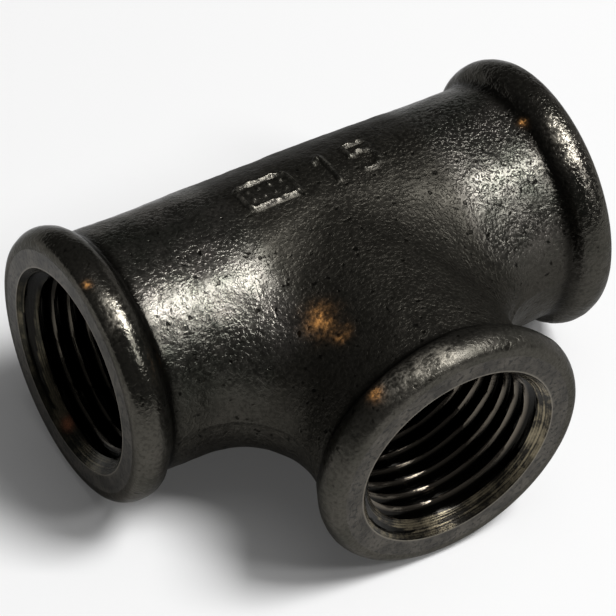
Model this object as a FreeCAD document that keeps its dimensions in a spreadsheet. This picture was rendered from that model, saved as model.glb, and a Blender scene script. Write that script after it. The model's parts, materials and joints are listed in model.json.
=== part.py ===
import FreeCAD, Part
import math
import os
import Sketcher

# Equal pipe tee of the half inch size, one casting of malleable iron.
# Origin: the point where the axis of the run and the axis of the branch cross.
# +X along the run, -Y out of the branch, +Z up. The tee lies on its three beads.
# All lengths are millimetres, all angles degrees.

NODE = "tee_body"
SIZES = {
    "run_to_end": 28.0,             # crossing of the axes to the face of a run port
    "branch_to_end": 28.0,          # crossing of the axes to the face of the branch
    "thread_crest_radius": 9.3155,  # crest of a half inch parallel pipe thread
    "thread_end_depth": 14.6,       # port face to the last full turn of thread
    "bevel_width": 1.6,             # how much wider the mouth is than the crest
    "bevel_depth": 1.7,             # port face to the inner end of the bevel
    "core_relief": 1.4,             # how much wider the cored run is than the crest
    "relief_slope": 1.3,            # length of the cone from the crest to the core
    "branch_core_inset": 0.4,       # how much slimmer the branch's core is than the run's
    "crotch_round": 1.0,            # inner edge where the branch opens into the run
    "wall": 2.1,                    # core of the run to its outside
    "branch_inset": 0.36,           # how much slimmer the branch is than the run
    "saddle_blend": 7.4,            # hollow between the branch and the run
    "bead_rise": 1.74,              # crown of a bead above the run
    "bead_round": 2.6,              # section radius of a bead
    "bead_setback": 2.0,            # port face back to the crown of its bead
    "root_round": 1.05,             # hollow between a bead and the neck behind it
}
FULL_TURN = 360
NEAR = 0.02                         # a point this near to a surface lies on it

# Sizes that follow from those above, as formulas of the sheet
CREST = "sizes.thread_crest_radius"
MOUTH = "(sizes.thread_crest_radius + sizes.bevel_width)"
RUN_CORE = "(sizes.thread_crest_radius + sizes.core_relief)"
BRANCH_CORE = f"({RUN_CORE} - sizes.branch_core_inset)"
RUN = f"({RUN_CORE} + sizes.wall)"
BRANCH = f"({RUN} - sizes.branch_inset)"
BEAD_CENTRE = f"({RUN} + sizes.bead_rise - sizes.bead_round)"

doc = FreeCAD.newDocument("pipe_tee")
sizes = doc.addObject("Spreadsheet::Sheet", "sizes")
for row, (name, value) in enumerate(SIZES.items(), start=1):
    sizes.set(f"A{row}", name)
    sizes.set(f"B{row}", str(value))
    sizes.setAlias(f"B{row}", name)
doc.recompute()

# The same sizes as numbers, to draw every section close to its final form
crest = sizes.thread_crest_radius
mouth = crest + sizes.bevel_width
run_core = crest + sizes.core_relief
branch_core = run_core - sizes.branch_core_inset
run_radius = run_core + sizes.wall
branch_radius = run_radius - sizes.branch_inset
bead_centre = run_radius + sizes.bead_rise - sizes.bead_round

# Each arm: where its section points in the level plane, and its own sizes
ARMS = {
    "right": (0, sizes.run_to_end, "sizes.run_to_end", run_radius, RUN, run_core, RUN_CORE),
    "left": (180, sizes.run_to_end, "sizes.run_to_end", run_radius, RUN, run_core, RUN_CORE),
    "branch": (-90, sizes.branch_to_end, "sizes.branch_to_end",
               branch_radius, BRANCH, branch_core, BRANCH_CORE),
}

body = doc.addObject("PartDesign::Body", NODE)
body.Label = NODE
body.Placement = FreeCAD.Placement(FreeCAD.Vector(0, 0, 0), FreeCAD.Rotation())


# Sections: a sketch, its edges, and its rules and sizes

START, END, CENTRE = 1, 2, 3        # the points of an edge
ORIGIN = (-1, 1)                    # a sketch's own origin
LEVEL_AXIS = -1
UPRIGHT = FreeCAD.Vector(0, 0, 1)


def new_section(name, role="XY_Plane", heading=0):
    """An empty sketch on one of the body's own planes, turned in it to a heading."""
    sketch = body.newObject("Sketcher::SketchObject", name)
    datum = next(f for f in body.Origin.OriginFeatures if f.Role == role)
    sketch.AttachmentSupport = [(datum, "")]
    sketch.MapMode = "FlatFace"
    sketch.AttachmentOffset = FreeCAD.Placement(
        FreeCAD.Vector(0, 0, 0), FreeCAD.Rotation(UPRIGHT, heading))
    return sketch


def line(sketch, start, end):
    """A straight edge between two points of the sketch."""
    edge = Part.LineSegment(FreeCAD.Vector(*start, 0), FreeCAD.Vector(*end, 0))
    return sketch.addGeometry(edge, False)


def circle(centre, radius):
    """A circle in the plane of a sketch."""
    return Part.Circle(FreeCAD.Vector(*centre, 0), UPRIGHT, radius)


def arc(sketch, centre, radius, first, last):
    """A round edge of the sketch, anticlockwise from one angle to the other."""
    return sketch.addGeometry(Part.ArcOfCircle(circle(centre, radius), first, last), False)


def tie(sketch, *rule):
    """A rule of the section that holds no size of its own."""
    sketch.addConstraint(Sketcher.Constraint(*rule))


def size(sketch, name, formula, *rule):
    """A size of the section, bound to the sheet."""
    sketch.renameConstraint(sketch.addConstraint(Sketcher.Constraint(*rule)), name)
    sketch.setExpression(f"Constraints.{name}", formula)


def bead_section(name, arm):
    """A bead at the port of one arm: a flat face, a round crown and a hollow root."""
    heading, to_end, to_end_formula, radius, radius_formula = ARMS[arm][:5]
    crown_at = to_end - sizes.bead_setback
    rise = radius + sizes.root_round - bead_centre
    reach = math.sqrt((sizes.bead_round + sizes.root_round) ** 2 - rise ** 2)
    root_at = crown_at - reach
    face_angle = math.acos(sizes.bead_setback / sizes.bead_round)
    face_top = bead_centre + sizes.bead_round * math.sin(face_angle)
    back_angle = math.atan2(rise, -reach)
    sketch = new_section(name, heading=heading)
    base = line(sketch, (root_at, bead_centre), (to_end, bead_centre))
    face = line(sketch, (to_end, bead_centre), (to_end, face_top))
    crown = arc(sketch, (crown_at, bead_centre), sizes.bead_round, face_angle, back_angle)
    root = arc(sketch, (root_at, radius + sizes.root_round), sizes.root_round,
               -math.pi / 2, back_angle - math.pi)
    foot = line(sketch, (root_at, radius), (root_at, bead_centre))
    tie(sketch, "Coincident", base, END, face, START)
    tie(sketch, "Coincident", face, END, crown, START)
    tie(sketch, "Tangent", crown, END, root, END)
    tie(sketch, "Coincident", root, START, foot, START)
    tie(sketch, "Perpendicular", root, foot)
    tie(sketch, "Coincident", foot, END, base, START)
    tie(sketch, "Horizontal", base)
    tie(sketch, "Vertical", face)
    tie(sketch, "Vertical", foot)
    tie(sketch, "PointOnObject", crown, CENTRE, base)
    size(sketch, "port_face", to_end_formula, "DistanceX", *ORIGIN, face, START, to_end)
    size(sketch, "setback", "sizes.bead_setback",
         "DistanceX", crown, CENTRE, face, START, sizes.bead_setback)
    size(sketch, "crown_round", "sizes.bead_round", "Radius", crown, sizes.bead_round)
    size(sketch, "crown_centre", BEAD_CENTRE,
         "DistanceY", *ORIGIN, crown, CENTRE, bead_centre)
    size(sketch, "root_round", "sizes.root_round", "Radius", root, sizes.root_round)
    size(sketch, "neck_radius", radius_formula, "DistanceY", *ORIGIN, foot, START, radius)
    return sketch


def bore_section(name, arm):
    """The passage of one arm: bevel, thread bore, relief cone and cored hole."""
    heading, to_end, to_end_formula, _, _, core, core_formula = ARMS[arm]
    bore_end = to_end - sizes.thread_end_depth
    corners = [
        (0, 0),
        (to_end, 0),
        (to_end, mouth),
        (to_end - sizes.bevel_depth, crest),
        (bore_end, crest),
        (bore_end - sizes.relief_slope, core),
        (0, core),
    ]
    sketch = new_section(name, heading=heading)
    edges = [line(sketch, a, b) for a, b in zip(corners, corners[1:] + corners[:1])]
    axis, face, bevel, bore, relief, passage, middle = edges
    for edge, after in zip(edges, edges[1:] + edges[:1]):
        tie(sketch, "Coincident", edge, END, after, START)
    tie(sketch, "Coincident", axis, START, *ORIGIN)
    tie(sketch, "PointOnObject", axis, END, LEVEL_AXIS)
    tie(sketch, "Vertical", face)
    tie(sketch, "Horizontal", bore)
    tie(sketch, "Horizontal", passage)
    tie(sketch, "Vertical", middle)
    size(sketch, "port_face", to_end_formula, "DistanceX", *ORIGIN, axis, END, to_end)
    size(sketch, "mouth_radius", MOUTH, "DistanceY", *ORIGIN, face, END, mouth)
    size(sketch, "bevel_depth", "sizes.bevel_depth",
         "DistanceX", bevel, END, bevel, START, sizes.bevel_depth)
    size(sketch, "crest_radius", CREST, "DistanceY", *ORIGIN, bore, START, crest)
    size(sketch, "thread_end", "sizes.thread_end_depth",
         "DistanceX", bore, END, face, START, sizes.thread_end_depth)
    size(sketch, "relief_slope", "sizes.relief_slope",
         "DistanceX", relief, END, relief, START, sizes.relief_slope)
    size(sketch, "core_radius", core_formula, "DistanceY", *ORIGIN, passage, START, core)
    return sketch


# Features: each is recomputed and tested before the next one reads it

def settle(feature):
    """Recompute, and stop if anything failed or the feature's solid isn't sound."""
    body.Tip = feature
    doc.recompute()
    failed = [o.Label for o in doc.Objects if "Invalid" in o.State or "Error" in o.State]
    if failed:
        raise RuntimeError(f"failed to build: {failed}")
    if feature.Shape.isNull() or not feature.Shape.isValid():
        raise RuntimeError(f"{feature.Label} has no sound solid")
    return feature


def tube(name, role, radius, radius_formula, length_formula, both_ways):
    """A round bar from the crossing of the axes out along one arm, or along two."""
    section = new_section(f"{name}_circle", role)
    ring = section.addGeometry(circle((0, 0), radius), False)
    tie(section, "Coincident", ring, CENTRE, *ORIGIN)
    size(section, "radius", radius_formula, "Radius", ring, radius)
    pad = body.newObject("PartDesign::Pad", name)
    pad.Profile = section
    pad.SideType = "Symmetric" if both_ways else "One side"
    pad.setExpression("Length", length_formula)
    return settle(pad)


def turned(kind, name, section):
    """A section turned once round its own level axis, as solid or as hollow."""
    before = body.Tip.Shape.Volume
    feature = body.newObject(kind, name)
    feature.Profile = section
    feature.ReferenceAxis = (section, ["H_Axis"])
    feature.Angle = FULL_TURN
    settle(feature)
    change = feature.Shape.Volume - before
    if (change < 0) != (kind == "PartDesign::Groove") or abs(change) < NEAR:
        raise RuntimeError(f"{name} does not change the solid as it should")
    return feature


def saddle_rounded(name, radius, pipe, barrel):
    """A round along the edge where a pipe about Y meets a barrel about X."""
    def on_saddle(edge):
        first, last = edge.ParameterRange
        places = [edge.valueAt(first + (last - first) * k / 6) for k in range(7)]
        on_pipe = all(abs(math.hypot(p.x, p.z) - pipe) < NEAR for p in places)
        on_barrel = all(abs(math.hypot(p.y, p.z) - barrel) < NEAR for p in places)
        return on_pipe and on_barrel

    base = body.Tip
    edges = [f"Edge{i}" for i, e in enumerate(base.Shape.Edges, start=1) if on_saddle(e)]
    if not edges:
        raise RuntimeError(f"{name} finds no edge to round")
    fillet = body.newObject("PartDesign::Fillet", name)
    fillet.Base = (base, edges)
    fillet.setExpression("Radius", f"sizes.{radius}")
    return settle(fillet)


# Outside of the casting
tube("run", "YZ_Plane", run_radius, RUN, "2 * sizes.run_to_end", True)
tube("branch", "XZ_Plane", branch_radius, BRANCH, "sizes.branch_to_end", False)
saddle_rounded("saddle_blend", "saddle_blend", branch_radius, run_radius)
for arm in ARMS:
    turned("PartDesign::Revolution", f"{arm}_bead", bead_section(f"{arm}_bead_section", arm))

# Passage through the casting
for arm in ARMS:
    turned("PartDesign::Groove", f"{arm}_bore", bore_section(f"{arm}_bore_section", arm))
saddle_rounded("crotch_round", "crotch_round", branch_core, run_core)

# Export
if len(body.Shape.Solids) != 1:
    raise RuntimeError("the tee is not one solid")
os.makedirs("parts", exist_ok=True)
body.Shape.exportStep(f"parts/{body.Label}.step")
print(f"{NODE}: volume {body.Shape.Volume:.0f} mm3, {len(body.Shape.Faces)} faces")
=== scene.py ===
import json
import math

import bmesh
import bpy
import numpy as np
from mathutils import Matrix, Vector


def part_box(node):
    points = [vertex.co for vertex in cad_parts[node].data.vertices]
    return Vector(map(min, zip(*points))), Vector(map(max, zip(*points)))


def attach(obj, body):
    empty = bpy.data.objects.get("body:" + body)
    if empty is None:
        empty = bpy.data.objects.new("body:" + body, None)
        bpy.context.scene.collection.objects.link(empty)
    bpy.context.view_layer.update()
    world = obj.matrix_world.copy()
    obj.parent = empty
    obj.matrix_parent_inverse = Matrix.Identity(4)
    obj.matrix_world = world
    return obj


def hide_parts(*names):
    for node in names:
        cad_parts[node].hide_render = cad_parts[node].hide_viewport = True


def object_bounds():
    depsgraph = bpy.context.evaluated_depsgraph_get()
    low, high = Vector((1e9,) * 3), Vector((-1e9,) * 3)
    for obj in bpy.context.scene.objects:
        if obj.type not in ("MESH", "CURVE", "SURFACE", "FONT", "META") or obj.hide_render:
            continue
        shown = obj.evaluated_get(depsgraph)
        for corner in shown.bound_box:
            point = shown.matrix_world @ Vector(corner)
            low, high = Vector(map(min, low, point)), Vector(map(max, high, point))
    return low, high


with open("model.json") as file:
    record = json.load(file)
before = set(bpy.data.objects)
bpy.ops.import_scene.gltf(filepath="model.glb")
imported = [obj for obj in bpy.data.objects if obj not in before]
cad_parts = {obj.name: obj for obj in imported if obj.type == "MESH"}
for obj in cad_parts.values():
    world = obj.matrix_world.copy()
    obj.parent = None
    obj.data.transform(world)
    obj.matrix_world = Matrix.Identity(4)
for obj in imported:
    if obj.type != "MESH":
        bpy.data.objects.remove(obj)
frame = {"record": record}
CAD_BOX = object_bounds()

# Half inch pipe tee of black malleable iron, lying on its three beads.
# Shapes are worked out in millimetres and put into the meshes in metres.
MM = 0.001
NODE = "tee_body"
ARM_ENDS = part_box(NODE)[1] / MM
PORT = next(m for m in frame["record"]["mounts"] if m["name"] == "right_port")

# Sizes of the casting, as the frame's solid has them
TO_END = round(ARM_ENDS.x, 2)           # crossing of the axes to a port face
CREST = PORT["dims"]["r_mm"]            # crest radius of the thread
MOUTH = CREST + 1.6                     # radius of the bevel at the port face
BEVEL_DEPTH = 1.7
THREAD_END = 14.6                       # port face to the last full turn
RELIEF_SLOPE = 1.3                      # cone from the thread to the core
RUN_CORE = CREST + 1.4
BRANCH_CORE = RUN_CORE - 0.4
CROTCH_ROUND = 1.0
RUN = RUN_CORE + 2.1
BRANCH = RUN - 0.36
SADDLE_BLEND = 7.4
SADDLE_OPENS = 6.5                      # how much larger its radius is above and below
BEAD_ROUND = 2.6
BEAD_CENTRE = RUN + 1.74 - BEAD_ROUND
BEAD_SETBACK = 2.0
ROOT_ROUND = 1.05

# The thread, to the half inch parallel form
PITCH = 25.4 / 14
THREAD_HEIGHT = 0.6403 * PITCH
THREAD_ROUND = 0.97                     # 1 would be sharp crests and roots
FIRST_CREST = 2.6                       # depth of a crest where a port's angle is 0

# A machined face rolls over into its bead, where handling has worn the corner
FACE_ROLL = 1.1
ROLL_RISE = math.sqrt((BEAD_ROUND - FACE_ROLL) ** 2 - (BEAD_SETBACK - FACE_ROLL) ** 2)
FACE_EDGE = 0.3                         # rim of the face that the wear has reached
FACE_OUTER = BEAD_CENTRE + ROLL_RISE - FACE_EDGE

# Spacing of the mesh
SKIN_STEP = 0.6
BEAD_STEP = 0.34
MARK_STEP = 0.17
THREAD_STEP = 0.15
CORE_STEP = 1.0
CORE_TURN = 0.055                       # radians
CORE_WINDOW_STEP = 0.09                 # radians
SADDLE_ROWS = 44
CORE_ROWS = 18
MERGED = 0.002                          # points nearer than this are one
SHARP = math.radians(42)

# Windows that the patch round the branch fills, in the run and in its core
WINDOW_X = 20.9
WINDOW_TURN = math.radians(84)
CORE_WINDOW_X = 11.75
CORE_WINDOW_TURN = math.radians(80)

# Raised marks on top of the run, and the finely meshed band that they lie in
MARKS_TURN = math.radians(98)           # how far round the run they are
MARKS_FROM = -8.2
MARKS_TO = 9.4
MARKS_BAND = math.radians(28)           # the band's width, from the window's edge
MARK_HEIGHT = 0.38
MARK_HALF = 0.38                        # from the middle of a stroke to its foot
PAD_AT = -4.7
PAD_HALF = (2.9, 1.8)
PAD_ROUND = 0.8
PAD_HEIGHT = 0.1
PIP_STEP = 1.25
PIP_SUNK = 0.08                         # how much sooner a pip ends than a stroke

SEED = 12


# Shapes

def steps(start, end, step):
    """Evenly spaced values from start to end, at most one step apart."""
    return np.linspace(start, end, max(2, int(math.ceil(abs(end - start) / step)) + 1))


def chain(*parts):
    """Runs of values joined end to end, each shared value once."""
    return np.concatenate([parts[0]] + [p[1:] for p in parts[1:]])


def smooth(value, low, high):
    """0 up to low and 1 from high on, with an even S between them."""
    t = np.clip((value - low) / (high - low), 0, 1)
    return t * t * (3 - 2 * t)


class Arm:
    """One arm: the way out along its axis, and where its angles start and turn to."""

    def __init__(self, out, start, quarter):
        self.out = np.array(out, float)
        self.start = np.array(start, float)
        self.quarter = np.array(quarter, float)
        self.hand = float(np.sign(np.cross(self.start, self.quarter) @ self.out))

    def place(self, along, radius, turn):
        """Points at a distance along the axis, a radius from it and an angle round it."""
        along, radius, turn = np.broadcast_arrays(along, radius, turn)
        across = np.cos(turn)[..., None] * self.start + np.sin(turn)[..., None] * self.quarter
        return along[..., None] * self.out + radius[..., None] * across


RIGHT = Arm((1, 0, 0), (0, -1, 0), (0, 0, 1))
LEFT = Arm((-1, 0, 0), (0, -1, 0), (0, 0, 1))
BRANCH_ARM = Arm((0, -1, 0), (1, 0, 0), (0, 0, 1))


class Skin:
    """Patches gathered into one mesh: points, faces, and for each what it is."""

    def __init__(self):
        self.points, self.cast, self.lathe, self.groove = [], [], [], []
        self.faces, self.finish = [], []
        self.count = 0

    def add(self, points, faces, finish, cast=0.0, lathe=0.0, groove=0.0):
        """cast: how far the sand shaped a point; lathe: millimetres along a turned
        section, which is the radius on a port face and runs on down its bevel and
        wall; groove: 0 on a thread's crest and 1 in its root."""
        flat = points.reshape(-1, 3)
        self.points.append(flat)
        for store, value in ((self.cast, cast), (self.lathe, lathe), (self.groove, groove)):
            store.append(np.broadcast_to(value, points.shape[:-1]).reshape(-1))
        self.faces += (faces + self.count).tolist()
        self.finish += [finish] * len(faces)
        self.count += len(flat)

    def grid(self, points, finish, keep=None, **what):
        """Four-sided faces between neighbours of a grid, closed round its columns:
        all of them, or those that keep marks."""
        rows, columns = points.shape[:2]
        index = np.arange(rows * columns).reshape(rows, columns)
        right = np.roll(index, -1, axis=1)
        faces = np.stack([index[:-1], index[1:], right[1:], right[:-1]], axis=-1)
        faces = faces[keep] if keep is not None else faces.reshape(-1, 4)
        self.add(points, faces, finish, **what)

    def ring(self, arm, along, inner, outer, finish):
        """A flat ring between two circles with different numbers of points, each
        given as radius and angles. Going round, every point makes one triangle with
        the last point of each circle."""
        angles = [np.mod(turn, 2 * math.pi) for _, turn in (inner, outer)]
        order = [np.argsort(a) for a in angles]
        merged = np.argsort(np.concatenate([angles[0][order[0]], angles[1][order[1]]]))
        from_inner = merged < len(angles[0])
        last_inner = np.cumsum(from_inner) - 1
        last_outer = np.cumsum(~from_inner) - 1
        before = np.where(from_inner, last_inner - 1, last_outer - 1)
        a = order[0][last_inner % len(order[0])]
        b = order[1][last_outer % len(order[1])] + len(angles[0])
        previous = np.where(from_inner, order[0][before % len(order[0])],
                            order[1][before % len(order[1])] + len(angles[0]))
        faces = np.stack([a, b, previous], axis=-1)
        points = np.concatenate([arm.place(along, inner[0], inner[1]),
                                 arm.place(along, outer[0], outer[1])])
        radii = np.concatenate([np.full(len(inner[1]), inner[0]),
                                np.full(len(outer[1]), outer[0])])
        self.add(points, faces, finish, lathe=radii)


def bead_profile(neck):
    """Section of a bead from its flat face back to the neck, as distance along the
    arm and radius: the face's worn corner, a round crown, and a hollow, each arc
    meeting the next and the neck without a corner."""
    crown_at = TO_END - BEAD_SETBACK
    rise = neck + ROOT_ROUND - BEAD_CENTRE
    reach = math.sqrt((BEAD_ROUND + ROOT_ROUND) ** 2 - rise ** 2)
    first = math.atan2(ROLL_RISE, BEAD_SETBACK - FACE_ROLL)
    last = math.atan2(rise, -reach)
    roll = steps(0, first, BEAD_STEP / FACE_ROLL)[:-1]
    crown = steps(first, last, BEAD_STEP / BEAD_ROUND)
    hollow = steps(last - math.pi, -math.pi / 2, BEAD_STEP / ROOT_ROUND)[1:]
    along = np.concatenate([
        [TO_END],
        TO_END - FACE_ROLL + FACE_ROLL * np.cos(roll),
        crown_at + BEAD_ROUND * np.cos(crown),
        crown_at - reach + ROOT_ROUND * np.cos(hollow)])
    radius = np.concatenate([
        [FACE_OUTER],
        FACE_OUTER + FACE_EDGE + FACE_ROLL * np.sin(roll),
        BEAD_CENTRE + BEAD_ROUND * np.sin(crown),
        neck + ROOT_ROUND + ROOT_ROUND * np.sin(hollow)])
    return along, radius


def cast_share(along):
    """0 on a machined face and 1 a little way behind it."""
    return smooth(TO_END - np.abs(along), 0.02, 1.2)


def thread_wall(arm, depth, turn):
    """Radius of a port's wall, and how deep it lies in the thread's groove. The wall
    is whichever reaches further out: the bevel, the relief cone or the thread. The
    thread is a wave with straight flanks, an arcsine of a cosine, that advances one
    pitch in a turn and dies out at its inner end."""
    phase = (depth - FIRST_CREST) / PITCH + arm.hand * turn / (2 * math.pi)
    wave = np.arcsin(THREAD_ROUND * np.cos(2 * math.pi * phase)) / math.asin(THREAD_ROUND)
    groove = np.clip(0.5 - 0.53 * wave, 0, 1)
    depth_left = 1 - smooth(depth, THREAD_END - 1.2 * PITCH, THREAD_END + 0.5)
    bevel = MOUTH - (MOUTH - CREST) * depth / BEVEL_DEPTH
    thread = CREST + THREAD_HEIGHT * groove * depth_left
    return np.maximum(bevel, thread), np.where(thread > bevel, groove * depth_left, 0)


def saddle_path(turn, share, pipe, barrel, ball, start, window_x, window_turn):
    """Points on the way from a pipe about the branch's axis to a barrel about the
    run's, by angle round the branch and share of the way. A ball, with a radius for
    each angle, rolls between the two: straight down the pipe to where the ball
    touches it, round the ball, then along the barrel to the point of the window.
    Each column is spaced evenly by length."""
    cosine, sine = np.cos(turn), np.sin(turn)
    centre_x = (pipe + ball) * cosine
    centre_z = (pipe + ball) * sine
    centre_y = -np.sqrt((barrel + ball) ** 2 - centre_z ** 2)
    zero = np.zeros_like(turn)
    centre = np.stack([centre_x, centre_y, centre_z], axis=-1)
    to_pipe = np.stack([-cosine, zero, -sine], axis=-1)
    to_barrel = np.stack([zero, -centre_y, -centre_z], axis=-1) / (barrel + ball)[:, None]
    bend = np.arccos(np.clip((to_pipe * to_barrel).sum(axis=-1), -1, 1))
    touch_turn = np.arctan2(centre_z, -centre_y)
    lengths = np.stack([
        centre_y - start,
        bend * ball,
        np.hypot(window_x - centre_x, (window_turn - touch_turn) * barrel)])
    gone = share[:, None] * lengths.sum(axis=0)
    down = np.clip(gone / lengths[0], 0, 1)
    round_ball = np.clip((gone - lengths[0]) / lengths[1], 0, 1)
    away = np.clip((gone - lengths[0] - lengths[1]) / lengths[2], 0, 1)
    on_pipe = np.stack(np.broadcast_arrays(
        pipe * cosine, start + down * lengths[0], pipe * sine), axis=-1)
    mix = np.sin(np.stack([1 - round_ball, round_ball]) * bend) / np.sin(bend)
    on_ball = centre + ball[:, None] * (mix[0][..., None] * to_pipe
                                        + mix[1][..., None] * to_barrel)
    x = centre_x + away * (window_x - centre_x)
    angle = touch_turn + away * (window_turn - touch_turn)
    on_barrel = np.stack([x, -barrel * np.cos(angle), barrel * np.sin(angle)], axis=-1)
    points = np.where((down < 1)[..., None], on_pipe, on_ball)
    return np.where((round_ball >= 1)[..., None], on_barrel, points)


def window_rim(x_lines, turns, barrel):
    """The rim of a window in a barrel, once round: place along the barrel, angle
    round it, and angle about the branch's axis, which the patch's columns take."""
    x = np.concatenate([np.full(len(turns) - 1, x_lines[0]), x_lines[:-1],
                        np.full(len(turns) - 1, x_lines[-1]), x_lines[:0:-1]])
    turn = np.concatenate([turns[:-1], np.full(len(x_lines) - 1, turns[-1]),
                           turns[:0:-1], np.full(len(x_lines) - 1, turns[0])])
    return x, turn, np.arctan2(barrel * np.sin(turn), x)


def plain_numeral(x, y):
    """Distance from a point to the middle line of a worn mark, in millimetres: the
    nominal bore, 15, with its strokes as straight lines and one arc."""
    def stroke(ax, ay, bx, by):
        along = np.clip(((x - ax) * (bx - ax) + (y - ay) * (by - ay))
                        / ((bx - ax) ** 2 + (by - ay) ** 2), 0, 1)
        return np.hypot(x - ax - along * (bx - ax), y - ay - along * (by - ay))

    bowl_x, bowl_y, bowl_radius = 6.3, -0.75, 1.35
    around = np.arctan2(y - bowl_y, x - bowl_x)
    bowl = np.where(np.abs(around) < math.radians(132),
                    np.abs(np.hypot(x - bowl_x, y - bowl_y) - bowl_radius), 9.0)
    strokes = [
        stroke(2.5, -2.1, 2.5, 2.1),
        stroke(2.5, 2.1, 1.4, 1.2),
        stroke(5.2, 2.1, 7.6, 2.1),
        stroke(5.2, 2.1, 5.2, 0.4),
        stroke(5.2, 0.4, 5.6, 0.35),
        bowl,
    ]
    return np.minimum.reduce(strokes)


def raised_marks(along, turn):
    """Height of the marks on top of the run: a plain pad with a rim and two rows of
    pips, and the bore as a plain number. Strokes and pips fall off in an even S from
    their middles. The rim is where the distance to a rounded box is nought. Two waves,
    each bent by a third, wear the marks to uneven heights."""
    y = (turn - MARKS_TURN) * RUN
    pad_x = along - PAD_AT
    corner_x = np.maximum(np.abs(pad_x) - PAD_HALF[0] + PAD_ROUND, 0)
    corner_y = np.maximum(np.abs(y) - PAD_HALF[1] + PAD_ROUND, 0)
    pad = np.hypot(corner_x, corner_y) - PAD_ROUND
    pip_x = pad_x - PIP_STEP * (np.clip(np.floor(pad_x / PIP_STEP), -2, 1) + 0.5)
    pip_y = y - PIP_STEP * (np.clip(np.floor(y / PIP_STEP), -1, 0) + 0.5)
    line = np.minimum(plain_numeral(along, y), np.abs(pad))
    line = np.minimum(line, np.hypot(pip_x, pip_y) + PIP_SUNK)
    wear = (np.sin(4.9 * along + 2 * np.sin(2.3 * y))
            + np.sin(3.7 * y + 2 * np.sin(3.1 * along)))
    return (MARK_HEIGHT * (0.8 + 0.14 * wear) * (1 - smooth(line, 0, MARK_HALF))
            + PAD_HEIGHT * (1 - smooth(pad, 0, 0.5)))


def waves(points, length, seed, count=28):
    """Smooth even noise of about one: plane waves of random headings, each near the
    given length in millimetres, added up."""
    random = np.random.default_rng(SEED + seed)
    heading = random.normal(size=(count, 3))
    heading /= np.linalg.norm(heading, axis=1, keepdims=True)
    heading *= 2 * math.pi / (length * random.uniform(0.7, 1.5, (count, 1)))
    start = random.uniform(0, 2 * math.pi, count)
    return np.sin(points @ heading.T + start).sum(axis=1) / math.sqrt(count / 2)


def sand_unevenness(points):
    """How far the cast skin stands off the true form, in millimetres: slow waves
    from the pattern and the mould, quicker and lower ones from the sand, a run that
    swells in the middle, beads a little under size, and a bell-shaped ridge where the
    halves of the mould met, but not at the back. On the beads it stays below 0."""
    reach = np.maximum(np.abs(points[:, 0]), -points[:, 1])
    bead = smooth(reach, TO_END - 5, TO_END - 3)
    swell = 0.09 - 0.12 * smooth(np.abs(points[:, 0]), 9, 21) * (1 - bead) - 0.15 * bead
    joint = 0.18 * np.exp(-(points[:, 2] / 0.35) ** 2) * (points[:, 1] < 5)
    sand = (0.05 * waves(points, 15, 1) + 0.026 * waves(points, 6, 2)
            + 0.013 * waves(points, 2.6, 3) + 0.008 * waves(points, 1.3, 4))
    return np.minimum(swell + joint + sand, 0.4 - 0.42 * bead)


# Finishes, in the order of the mesh's material slots
CAST, TURNED, CUT = 0, 1, 2


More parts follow.
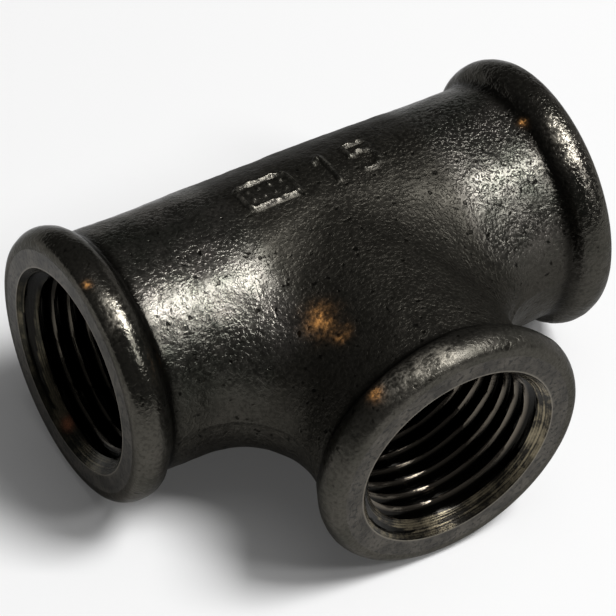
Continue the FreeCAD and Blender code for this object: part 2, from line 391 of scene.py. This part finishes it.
def build_tee():
    """All patches of the tee, from outside to inside."""
    skin = Skin()

    # Lines of the run: fine where the marks are, coarser elsewhere
    x_lines = chain(steps(WINDOW_X, MARKS_TO, SKIN_STEP),
                    steps(MARKS_TO, MARKS_FROM, MARK_STEP),
                    steps(MARKS_FROM, -WINDOW_X, SKIN_STEP))
    turn_step = SKIN_STEP / RUN
    in_window = steps(-WINDOW_TURN, WINDOW_TURN, turn_step)
    turns = chain(in_window,
                  steps(WINDOW_TURN, WINDOW_TURN + MARKS_BAND, MARK_STEP / RUN),
                  steps(WINDOW_TURN + MARKS_BAND, 2 * math.pi - WINDOW_TURN, turn_step))[:-1]

    # Run: both beads and all of the barrel but its window
    bead_along, bead_radius = bead_profile(RUN)
    neck = steps(bead_along[-1], WINDOW_X, SKIN_STEP)
    along = np.concatenate([bead_along[:-1], chain(neck, x_lines, -neck[::-1]),
                            -bead_along[-2::-1]])
    radius = np.full(len(along), RUN)
    radius[:len(bead_radius)] = bead_radius
    radius[-len(bead_radius):] = bead_radius[::-1]
    height = raised_marks(along[:, None], turns[None, :])
    points = RIGHT.place(along[:, None], radius[:, None] + height, turns[None, :])
    middle = 0.5 * (along[:-1] + along[1:])
    keep = np.ones((len(along) - 1, len(turns)), bool)
    keep[np.abs(middle) < WINDOW_X, :len(in_window) - 1] = False
    skin.grid(points, CAST, keep=keep, cast=cast_share(along)[:, None],
              lathe=radius[:, None])

    # Branch: its bead, its neck and the saddle, out to the window's rim
    rim_x, rim_turn, rim_angle = window_rim(x_lines, in_window, RUN)
    bead_along, bead_radius = bead_profile(BRANCH)
    bead = BRANCH_ARM.place(bead_along[:, None], bead_radius[:, None], rim_angle[None, :])
    blend = SADDLE_BLEND + SADDLE_OPENS * np.sin(rim_angle) ** 2
    path = saddle_path(rim_angle, np.linspace(0, 1, SADDLE_ROWS), BRANCH, RUN, blend,
                       -bead_along[-1], rim_x, rim_turn)
    skin.grid(np.concatenate([bead, path[1:]]), CAST,
              cast=np.concatenate([cast_share(bead_along), np.ones(len(path) - 1)])[:, None],
              lathe=np.concatenate([bead_radius, np.full(len(path) - 1, RUN)])[:, None])

    # Passage: the core of the run, and the patch that turns down into the branch
    core_x = steps(CORE_WINDOW_X, -CORE_WINDOW_X, CORE_STEP)
    core_in_window = steps(-CORE_WINDOW_TURN, CORE_WINDOW_TURN, CORE_WINDOW_STEP)
    core_turns = chain(core_in_window, steps(CORE_WINDOW_TURN, 2 * math.pi - CORE_WINDOW_TURN,
                                             CORE_TURN))[:-1]
    core_end = TO_END - THREAD_END - RELIEF_SLOPE
    core_along = np.concatenate([[core_end], core_x, [-core_end]])
    middle = 0.5 * (core_along[:-1] + core_along[1:])
    keep = np.ones((len(core_along) - 1, len(core_turns)), bool)
    keep[np.abs(middle) < CORE_WINDOW_X, :len(core_in_window) - 1] = False
    skin.grid(RIGHT.place(core_along[:, None], RUN_CORE, core_turns[None, :]), CAST,
              keep=keep, cast=smooth(core_end - np.abs(core_along), 0, 0.3)[:, None])
    rim_x, rim_turn, core_angle = window_rim(core_x, core_in_window, RUN_CORE)
    path = saddle_path(core_angle, np.linspace(0, 1, CORE_ROWS), BRANCH_CORE, RUN_CORE,
                       np.full(len(core_angle), CROTCH_ROUND), -core_end, rim_x, rim_turn)
    skin.grid(path, CAST, cast=smooth(np.arange(CORE_ROWS), 0, 2)[:, None])

    # Ports: the flat face, then bevel, thread and relief as one turned wall
    depth = chain(steps(0, THREAD_END, THREAD_STEP),
                  steps(THREAD_END, THREAD_END + RELIEF_SLOPE, 0.3))
    for arm, outer, inner, core in ((RIGHT, turns, core_turns, RUN_CORE),
                                    (LEFT, turns, core_turns, RUN_CORE),
                                    (BRANCH_ARM, rim_angle, core_angle, BRANCH_CORE)):
        skin.ring(arm, TO_END, (MOUTH, inner), (FACE_OUTER, outer), TURNED)
        wall, groove = thread_wall(arm, depth[:, None], inner[None, :])
        relief = CREST + (core - CREST) * (depth - THREAD_END) / RELIEF_SLOPE
        wall = np.maximum(wall, relief[:, None])
        wall[-1] = core
        skin.grid(arm.place(TO_END - depth[:, None], wall, inner[None, :]), CUT,
                  lathe=MOUTH - depth[:, None], groove=groove)
    return skin


# Places on the tee, as millimetres and a radius: faint orange blooms of rust, and
# crowns of the beads worn to grey metal, laid where the beads' highlights fall, so partly
# painted highlights
RUSTED = (
    ((-7.6, -13.7, 9.9), 1.4),
    ((-7.0, -16.4, 10.3), 0.8),
    ((-8.9, -25.4, 11.4), 0.8),
    ((23.4, -2.0, 12.8), 0.4),
    ((-27.3, -2.1, 14.0), 0.4),
    ((-27.0, 1.7, -9.9), 0.6),
)
RUBBED_AND_HIGHLIT = (
    ((-7.7, -25.7, 12.3), 1.2),
    ((-6.2, -25.8, 13.1), 1.3),
    ((-4.5, -25.9, 13.8), 1.3),
    ((-2.4, -26.1, 14.3), 1.2),
    ((-26.6, -6.7, 12.8), 1.0),
    ((-26.3, -4.9, 13.6), 1.0),
    ((25.3, -4.4, 13.8), 0.9),
    ((25.2, -6.0, 13.1), 1.0),
    ((25.1, -7.8, 12.1), 0.9),
)


def tee_mesh(skin):
    """One closed mesh in metres, its doubles merged and its faces outwards, with the
    sand's unevenness on it and what the materials ask for at each point."""
    mesh = bpy.data.meshes.new(NODE)
    points = np.concatenate(skin.points) * MM
    mesh.from_pydata(points.tolist(), [], skin.faces)
    mesh.polygons.foreach_set("material_index", skin.finish)
    for name in ("cast", "lathe", "groove"):
        put_values(mesh, name, np.concatenate(getattr(skin, name)))
    work = bmesh.new()
    work.from_mesh(mesh)
    bmesh.ops.remove_doubles(work, verts=work.verts, dist=MERGED * MM)
    bmesh.ops.recalc_face_normals(work, faces=work.faces)
    work.to_mesh(mesh)
    work.free()
    place = push_skin(mesh)
    for name, values in finish_zones(place / MM).items():
        put_values(mesh, name, values)
    mesh.update()
    mesh.shade_smooth()
    mesh.set_sharp_from_angle(angle=SHARP)
    return mesh


def put_values(mesh, name, values):
    """One number at each point of the mesh, under a name."""
    data = mesh.attributes.new(name, "FLOAT", "POINT").data
    data.foreach_set("value", values.astype(np.float32))


def push_skin(mesh):
    """The mesh's points in metres, after the cast skin is pushed along its normals
    by the sand's unevenness."""
    count = len(mesh.vertices)
    place = np.empty(count * 3, np.float32)
    normal = np.empty(count * 3, np.float32)
    cast = np.empty(count, np.float32)
    mesh.vertices.foreach_get("co", place)
    mesh.vertex_normals.foreach_get("vector", normal)
    mesh.attributes["cast"].data.foreach_get("value", cast)
    place = place.reshape(-1, 3).astype(float)
    shift = cast * sand_unevenness(place / MM) * MM
    place += normal.reshape(-1, 3) * shift[:, None]
    mesh.vertices.foreach_set("co", place.astype(np.float32).ravel())
    return place


def finish_zones(place):
    """Shares from 0 to 1 for points in millimetres: rust; bare metal, partly painted
    highlight; the beads; wear, which grows towards a port face; painted shade in the
    hollow behind a bead, as a bell; and a duller skin with painted shade in the middle,
    on the branch and towards the bottom, from which the marks stand out."""
    x, y, z = place.T
    reach = np.maximum(np.abs(x), -y)
    # A duller, rougher skin in the middle, on the branch and towards the bottom; its darker
    # colour is painted shade, strongest towards the bottom
    low = 1 - smooth(z, 1, 9)
    dull_and_shade = np.maximum.reduce([
        1 - smooth(np.abs(x - 2.2) - 5 * low, 9.6, 13.2),
        smooth(-y, 12.5, 15.5),
        0.9 * low])
    turn = np.mod(np.arctan2(z, -y), 2 * math.pi)
    marks = raised_marks(x, turn) / MARK_HEIGHT
    return {
        "rust": soft_balls(place, RUSTED),
        # Bare metal on bead crowns and mark tops, partly painted highlight
        "rubbed_and_highlight": np.maximum(soft_balls(place, RUBBED_AND_HIGHLIT), 0.3 * smooth(marks, 0.3, 1)),
        "bead": smooth(reach, TO_END - 6.2, TO_END - 4.4),
        "worn": smooth(reach, TO_END - 4.2, TO_END),
        # Painted shade in the hollow behind each bead
        "hollow": np.exp(-((reach - TO_END + 4.7) / 0.7) ** 2),
        "dull_and_shade": dull_and_shade * (1 - 0.7 * smooth(marks, 0.1, 0.5)),
    }


def soft_balls(points, spots):
    """0 to 1: how near each point is to any of a few places, each given with the
    radius in millimetres at which its share has sunk to a third."""
    share = np.zeros(len(points))
    for centre, radius in spots:
        away = np.linalg.norm(points - np.array(centre), axis=1)
        share = np.maximum(share, np.exp(-(away / radius) ** 2))
    return share


# Materials

def linear(hex_colour):
    """An sRGB colour as linear red, green, blue and one."""
    values = [int(hex_colour[i:i + 2], 16) / 255 for i in (1, 3, 5)]
    return [v / 12.92 if v <= 0.04045 else ((v + 0.055) / 1.055) ** 2.4 for v in values] + [1]


def add(tree, kind, inputs=None, **settings):
    """A node with its settings, and its inputs as values or as other outputs."""
    made = tree.nodes.new("ShaderNode" + kind)
    for name, value in settings.items():
        setattr(made, name, value)
    for key, value in (inputs or {}).items():
        if isinstance(value, bpy.types.NodeSocket):
            tree.links.new(value, made.inputs[key])
        else:
            made.inputs[key].default_value = value
    return made


def new_material(name):
    """An empty material and its node tree."""
    material = bpy.data.materials.new(name)
    material.use_nodes = True
    material.node_tree.nodes.clear()
    return material, material.node_tree


def per_metre(size_mm):
    """Texture scale for a feature of that size in millimetres."""
    return 1 / (size_mm * MM)


def noise(tree, place, size_mm, detail, roughness=0.5):
    """Even noise with features of a size in millimetres."""
    return add(tree, "TexNoise", {
        "Vector": place, "Scale": per_metre(size_mm), "Detail": detail,
        "Roughness": roughness}).outputs["Fac"]


def tool_rings(tree, along, scale, detail):
    """Noise along a turned section alone, so that it makes rings."""
    return add(tree, "TexNoise", {"W": along, "Scale": scale, "Detail": detail},
               noise_dimensions="1D").outputs["Fac"]


def attribute(tree, name):
    """A number that the mesh carries at its points."""
    return add(tree, "Attribute", attribute_name=name).outputs["Fac"]


def ranged(tree, value, low, high, at_low=0.0, at_high=1.0, kind="LINEAR"):
    """A value carried over from one range to another and held beyond its ends."""
    return add(tree, "MapRange", {"Value": value, 1: low, 2: high, 3: at_low, 4: at_high},
               interpolation_type=kind).outputs[0]


def product(tree, first, second, plus=0.0, held=False):
    """Two values multiplied and a third added, held from 0 to 1 if asked."""
    return add(tree, "Math", {0: first, 1: second, 2: plus}, operation="MULTIPLY_ADD",
               use_clamp=held).outputs[0]


def mixed(tree, share, none, full):
    """The colour that a share from 0 to 1 gives between two, each a hex or an output."""
    ends = [linear(c) if isinstance(c, str) else c for c in (none, full)]
    return add(tree, "Mix", {0: share, 6: ends[0], 7: ends[1]}, data_type="RGBA").outputs[2]


def ramp(tree, value, low, low_colour, high, high_colour):
    """A colour ramp with two stops."""
    made = add(tree, "ValToRGB", {"Fac": value})
    stops = ((low, low_colour), (high, high_colour))
    for element, (at, colour) in zip(made.color_ramp.elements, stops):
        element.position = at
        element.color = linear(colour)
    return made.outputs["Color"]


def surface(tree, inputs):
    """The shader with its inputs, joined to the material's output."""
    shader = add(tree, "BsdfPrincipled", inputs)
    add(tree, "OutputMaterial", {"Surface": shader.outputs[0]})


def cast_skin_material():
    """Malleable iron as cast in green sand, annealed to a black oxide and oiled: a
    near-black skin, half gloss, with the grain of the sand, coarser to the right,
    which breaks every highlight into flecks. The middle, the branch and the underside
    are duller, with painted shade that is strongest towards the bottom. It is worn grey
    towards the port faces and on the crowns, partly painted highlight there, the hollows
    behind the beads carry painted shade, and rust has bloomed in a few places."""
    material, tree = new_material("oiled_black_cast_iron")
    place = add(tree, "TexCoord").outputs["Object"]
    across = add(tree, "SeparateXYZ", {0: place}).outputs["X"]
    bead = attribute(tree, "bead")
    dull_and_shade = attribute(tree, "dull_and_shade")
    broad = noise(tree, place, 7, 5.0, 0.6)
    grain = noise(tree, place, 0.4, 2.5, 0.55)
    lumps = noise(tree, place, 1.4, 2.0)
    pore = ranged(tree, noise(tree, place, 0.8, 1.0), 0.24, 0.32)

    # Relief: the grain with flakes standing out of it, lumps, and pores
    flakes = ranged(tree, grain, 0.48, 0.66, 0.0, 0.75, "SMOOTHSTEP")
    height = product(tree, grain, 1.0, flakes)
    height = product(tree, lumps, 2.0, height)
    height = product(tree, pore, 1.5, height)
    bump = add(tree, "Bump", {
        "Height": height, "Strength": ranged(tree, bead, 0.0, 1.0, 1.0, 0.6),
        "Distance": ranged(tree, across, -4 * MM, 14 * MM, 0.024 * MM, 0.052 * MM)})

    # Colour: oxide, painted shade, darker grain hollows, bare metal with painted highlights,
    # and rust
    colour = ramp(tree, broad, 0.35, "#41423c", 0.68, "#66625d")
    # Beads are toned darker; elsewhere the darker colour is painted shade, strongest towards
    # the bottom
    haze_and_shade = add(tree, "Mix", {0: bead, 2: dull_and_shade, 3: 0.7}).outputs[0]
    colour = mixed(tree, haze_and_shade, colour, "#3a3833")
    # Darker in the hollows of the grain and in the pores
    out_of_hollows = product(tree, ranged(tree, grain, 0.36, 0.54, 0.5, 1.0), pore)
    colour = mixed(tree, out_of_hollows, "#1d1c19", colour)
    # Grey bare metal on the bead crowns and the marks' tops, partly painted highlight
    bared_and_highlight = product(tree, attribute(tree, "rubbed_and_highlight"), lumps)
    bared_and_highlight = product(tree, bared_and_highlight, ranged(tree, grain, 0.4, 0.6, 0.5, 3.0))
    worn = product(tree, attribute(tree, "worn"), broad)
    worn = product(tree, worn, 0.12, bared_and_highlight, held=True)
    colour = mixed(tree, worn, colour, "#948f84")
    # Painted shade in the hollow behind each bead
    hollow_shade = product(tree, attribute(tree, "hollow"), 0.8)
    colour = mixed(tree, hollow_shade, colour, "#100f0d")
    ragged = product(tree, ranged(tree, lumps, 0.35, 0.6, 0.3, 1.3),
                     ranged(tree, grain, 0.36, 0.6, 0.25, 1.0))
    rust = product(tree, attribute(tree, "rust"), ragged, held=True)
    colour = mixed(tree, rust, colour, "#c28a4e")

    roughness = ranged(tree, lumps, 0.3, 0.7, 0.21, 0.29)
    for share, change in ((dull_and_shade, 0.19), (bead, -0.05), (bared_and_highlight, 0.12)):
        roughness = product(tree, share, change, roughness)
    surface(tree, {
        "Base Color": colour, "Roughness": roughness, "Normal": bump.outputs[0],
        "Metallic": ranged(tree, rust, 0.0, 1.0, 0.9, 0.0),
        "Specular IOR Level": 0.0, "Specular Tint": (0.55, 0.55, 0.55, 1)})
    return material


def turned_face_material():
    """Iron faced in a lathe and dulled by handling: grey-brown metal, half matt, with
    fine rings of the tool, small pits that the cut has opened, and a corner at the
    mouth that is worn bright, partly a painted highlight along the edge."""
    material, tree = new_material("lathe_faced_iron")
    place = add(tree, "TexCoord").outputs["Object"]
    lathe = attribute(tree, "lathe")
    pit = ranged(tree, noise(tree, place, 0.5, 2.0), 0.34, 0.5)
    height = product(tree, pit, 0.8, tool_rings(tree, lathe, 6.0, 2.0))
    bump = add(tree, "Bump", {"Height": height, "Strength": 0.6, "Distance": 0.02 * MM})
    stain = noise(tree, place, 2.2, 5.0, 0.65)
    colour = ramp(tree, stain, 0.38, "#302d28", 0.62, "#4d4942")
    colour = mixed(tree, pit, "#24221e", colour)
    # The mouth's corner is worn bright; its lighter colour is partly a painted highlight
    # along the edge
    corner = ranged(tree, lathe, MOUTH + 0.05, MOUTH + 0.2, 0.5, 0.0)
    colour = mixed(tree, corner, colour, "#8a8478")
    surface(tree, {"Base Color": colour, "Roughness": 0.48, "Normal": bump.outputs[0],
                   "Metallic": 0.8})
    return material


def cut_thread_material():
    """Iron cut by a tap and oiled: bright grey on the crests and in patches of the
    bevel, with torn rings of the tool, roots darkened by oiling, chips and painted
    shade, painted shade over the left port's thread, and a spot of rust where the mesh
    has one."""
    material, tree = new_material("tapped_iron")
    place = add(tree, "TexCoord").outputs["Object"]
    across = add(tree, "SeparateXYZ", {0: place}).outputs["X"]
    lathe = attribute(tree, "lathe")
    stain = noise(tree, place, 2.4, 5.0, 0.7)
    torn = product(tree, tool_rings(tree, lathe, 7.0, 3.0), 0.5, stain)
    bump = add(tree, "Bump", {"Height": torn, "Strength": 0.8, "Distance": 0.05 * MM})
    colour = mixed(tree, ranged(tree, torn, 0.68, 0.9), "#24221e", "#7c735f")
    inside = ranged(tree, lathe, CREST - 0.6, CREST - 0.1, 1.0, 0.0)
    colour = mixed(tree, inside, colour, "#6c655b")
    # Painted shade over the thread of the left port, which faces away from the lamps
    left_port_shade = ranged(tree, across, -16 * MM, -12 * MM, 0.6, 0.0)
    colour = mixed(tree, left_port_shade, colour, "#24241d")
    colour = mixed(tree, attribute(tree, "rust"), colour, "#a0664a")
    # The roots go dark from oiling and from painted shade in the grooves
    root_oil_and_shade = ranged(tree, attribute(tree, "groove"), 0.0, 0.36)
    colour = mixed(tree, root_oil_and_shade, colour, "#12110e")
    surface(tree, {
        "Base Color": colour, "Roughness": ranged(tree, inside, 0.0, 1.0, 0.27, 0.15),
        "Normal": bump.outputs[0], "Metallic": 0.9})
    return material


# Floor, light and camera, in metres and watts
FLOOR_HALF = 3.0
FLOOR_GLOW = 0.05


def build_floor(level):
    """A pale floor at the lowest point of the tee. To camera rays and to reflected and
    refracted ones it glows a little, and the tee's shadow stays on it."""
    mesh = bpy.data.meshes.new("floor")
    corners = [(x * FLOOR_HALF, y * FLOOR_HALF, level)
               for x, y in ((-1, -1), (1, -1), (1, 1), (-1, 1))]
    mesh.from_pydata(corners, [], [(0, 1, 2, 3)])
    floor = bpy.data.objects.new("floor", mesh)
    bpy.context.scene.collection.objects.link(floor)
    material, tree = new_material("pale_floor")
    path = add(tree, "LightPath")
    seen = add(tree, "Math", {0: path.outputs["Is Camera Ray"],
                              1: path.outputs["Is Glossy Ray"]}, operation="MAXIMUM")
    seen = add(tree, "Math", {0: seen.outputs[0],
                              1: path.outputs["Is Transmission Ray"]}, operation="MAXIMUM")
    surface(tree, {
        "Base Color": linear("#eaeaea"), "Roughness": 0.9, "Emission Color": (1, 1, 1, 1),
        "Emission Strength": product(tree, seen.outputs[0], FLOOR_GLOW)})
    mesh.materials.append(material)


def build_world(level):
    """An even pale grey room."""
    world = bpy.data.worlds.new("room")
    world.use_nodes = True
    world.node_tree.nodes.clear()
    room = add(world.node_tree, "Background", {"Color": (1, 1, 1, 1), "Strength": level})
    add(world.node_tree, "OutputWorld", {"Surface": room.outputs[0]})
    bpy.context.scene.world = world


def heading_to(azimuth, elevation):
    """Unit vector from the tee towards a direction. Azimuth 0 is in front, at -Y."""
    across = math.cos(math.radians(elevation))
    return Vector((across * math.sin(math.radians(azimuth)),
                   -across * math.cos(math.radians(azimuth)),
                   math.sin(math.radians(elevation))))


def build_lamp(name, azimuth, elevation, distance, size, power):
    """A square soft lamp that faces the tee."""
    data = bpy.data.lights.new(name, "AREA")
    data.size = size
    data.energy = power
    lamp = bpy.data.objects.new(name, data)
    bpy.context.scene.collection.objects.link(lamp)
    towards = heading_to(azimuth, elevation)
    lamp.location = towards * distance
    lamp.rotation_euler = towards.to_track_quat("Z", "Y").to_euler()


# The camera stands where the photo was taken from, by a fit to the tee's outline
VIEW_AZIMUTH = -34.56
VIEW_ELEVATION = 46.04
VIEW_ROLL = 4.575
VIEW_DISTANCE = 374.84
VIEW_AIM = Vector((-1.268, -1.971, -2.260))
VIEW_LENS = 214.91
SENSOR = 36.0


def build_camera():
    """A long lens from the photo's side, rolled as the photo is."""
    data = bpy.data.cameras.new("camera")
    data.lens = VIEW_LENS
    data.sensor_width = SENSOR
    data.clip_start = 0.01
    camera = bpy.data.objects.new("camera", data)
    bpy.context.scene.collection.objects.link(camera)
    towards = heading_to(VIEW_AZIMUTH, VIEW_ELEVATION)
    level = towards.to_track_quat("Z", "Y").to_matrix().to_4x4()
    roll = Matrix.Rotation(math.radians(VIEW_ROLL), 4, "Z")
    stand = Matrix.Translation((VIEW_AIM + towards * VIEW_DISTANCE) * MM)
    camera.matrix_world = stand @ level @ roll
    bpy.context.scene.camera = camera


# Assembly

tee = bpy.data.objects.new("pipe_tee", tee_mesh(build_tee()))
bpy.context.scene.collection.objects.link(tee)
for finish in (cast_skin_material(), turned_face_material(), cut_thread_material()):
    tee.data.materials.append(finish)
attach(tee, "root")
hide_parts(NODE)

build_floor(CAD_BOX[0][2])
build_world(0.065)
build_lamp("key", azimuth=53, elevation=61, distance=1.5, size=0.5, power=22.5)
build_lamp("front", azimuth=33, elevation=41, distance=1.5, size=0.25, power=3.6)
build_lamp("overhead", azimuth=60, elevation=84, distance=1.5, size=1.0, power=2.0)
build_lamp("side", azimuth=105, elevation=8, distance=1.5, size=1.0, power=1.4)
build_camera()
bpy.context.scene.view_settings.view_transform = "Standard"
